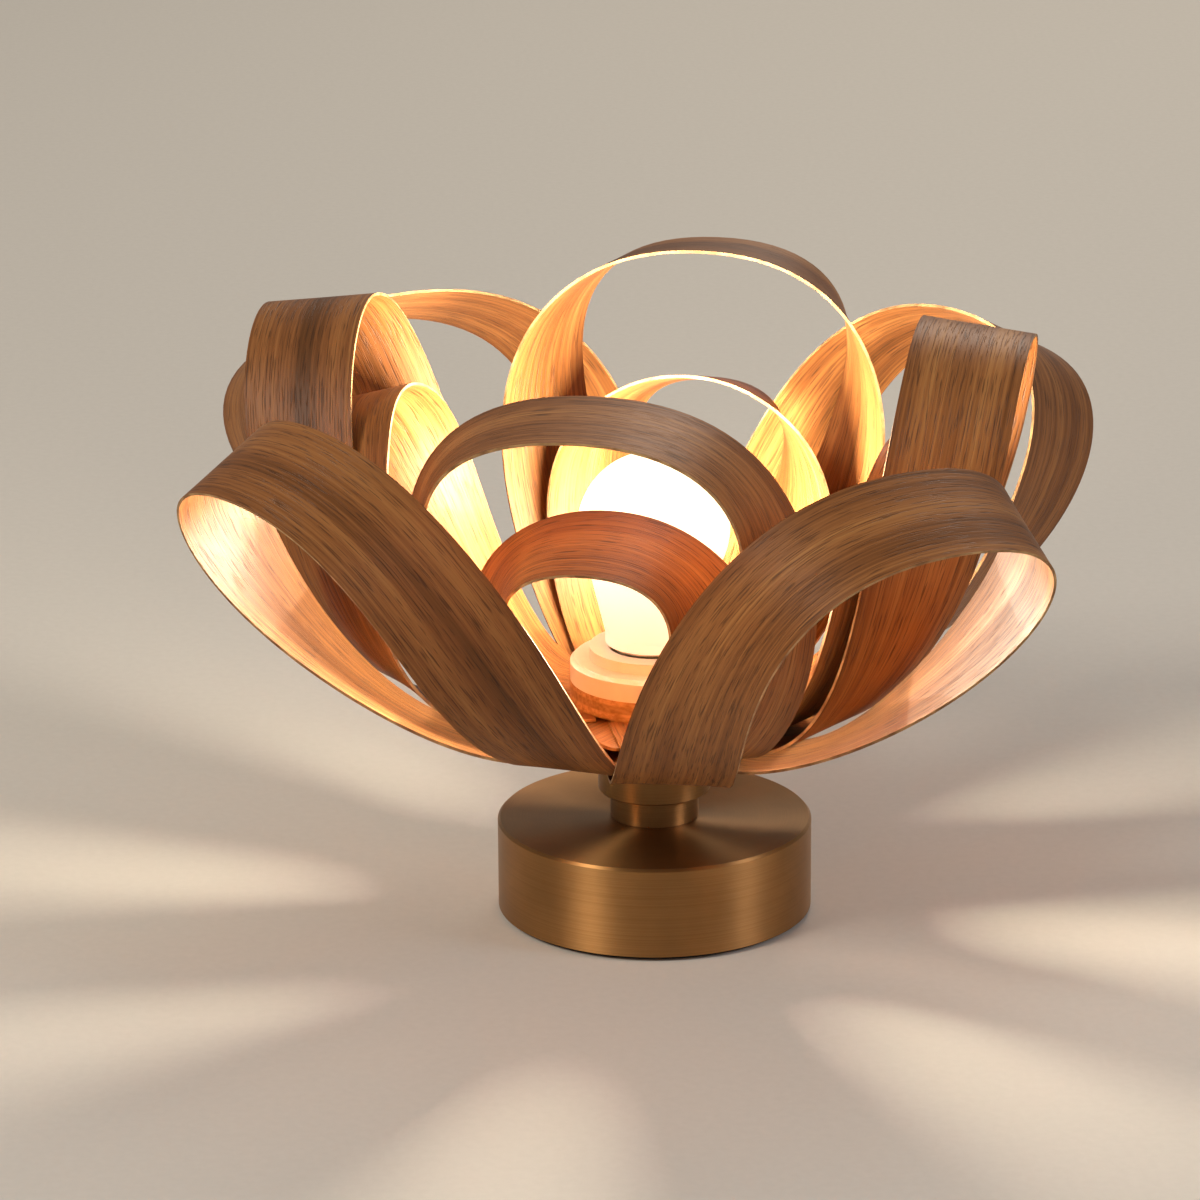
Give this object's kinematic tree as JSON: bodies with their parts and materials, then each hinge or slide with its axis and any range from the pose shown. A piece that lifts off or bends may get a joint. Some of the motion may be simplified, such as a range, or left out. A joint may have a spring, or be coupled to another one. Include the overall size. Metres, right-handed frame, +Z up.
{
  "type": "table lamp",
  "caption": "Portable table lamp: bent wood veneer strips loop like petals round a frosted globe bulb, on a short brass neck and a round brass base with battery, charging port and push button.",
  "frame": {"origin": "centre of the base's underside, on the table", "axes": "+Z up along the neck and bulb; the button and the charging port face +Y, the lamp's back"},
  "size_m": [0.2824, 0.2937, 0.1936],
  "materials": {
    "veneer": "oiled walnut veneer",
    "hub_wood": "laminated veneer, sealed",
    "bronze": "brushed, aged bronze tone",
    "steel": "zinc plated",
    "black_metal": "matt black",
    "pad": "soft, matt",
    "white_plastic": "fine satin",
    "black_plastic": "glazed",
    "cap_metal": "rolled thread",
    "contact_brass": "plain",
    "diffuser": "frosted, lit",
    "switch_metal": "satin",
    "board": "solder mask",
    "cell_wrap": "shrink wrap",
    "wire_skin": "smooth"
  },
  "bodies": {
    "lamp": {"base_plate": "steel", "base_posts": "steel", "base_shell": "bronze", "battery_leads": "wire_skin", "battery_pack": "cell_wrap", "battery_plug": "white_plastic", "battery_tray": "black_plastic", "board_standoffs": "white_plastic", "charging_socket": "switch_metal", "circuit_board": "board", "clamp_plate": "black_metal", "collar_nut": "steel", "foot_pad": "pad", "holder_contact": "contact_brass", "holder_screw_shell": "contact_brass", "holder_shell": "white_plastic", "hub_disc": "hub_wood", "inner_petal_front": "veneer", "inner_petal_left": "veneer", "inner_petal_rear": "veneer", "inner_petal_right": "veneer", "lead_wires": "wire_skin", "lower_spacer": "hub_wood", "neck_collar": "bronze", "neck_ring": "bronze", "outer_petal_front_left": "veneer", "outer_petal_front_right": "veneer", "outer_petal_rear_left": "veneer", "outer_petal_rear_right": "veneer", "plate_screws": "steel", "switch_body": "switch_metal", "switch_nut": "steel", "tall_petal_front": "veneer", "tall_petal_left": "veneer", "tall_petal_rear": "veneer", "tall_petal_right": "veneer", "threaded_tube": "steel", "tube_nut": "steel", "tube_washer": "steel", "upper_spacer": "hub_wood", "wire_terminal": "white_plastic"},
    "button": {"power_button": "switch_metal"},
    "bulb_tip": {"bulb_contact": "contact_brass"},
    "bulb": {"bulb_insulator": "black_plastic", "bulb_cap": "cap_metal", "bulb_neck": "white_plastic", "bulb_led_board": "white_plastic", "bulb_globe": "diffuser"}
  },
  "joints": [
    {"name": "button_press", "type": "slide", "parent": "lamp", "child": "button", "axis": [0, -1, 0], "range_m": [0, 0.0012], "stiffness_N_per_m": 1000, "springref_m": -0.001},
    {"name": "bulb_lift", "type": "slide", "parent": "lamp", "child": "bulb_tip", "axis": [0, 0, 1], "range_m": [0, 0.0182]},
    {"name": "bulb_turn", "type": "hinge", "parent": "bulb_tip", "child": "bulb", "pos_m": [0, 0, 0.0756], "axis": [0, 0, 1], "range_deg": [0, 1800]}
  ],
  "couplings": [
    {"joint": "bulb_lift", "follows": "bulb_turn", "m_per_rad": 0.00057757}
  ]
}
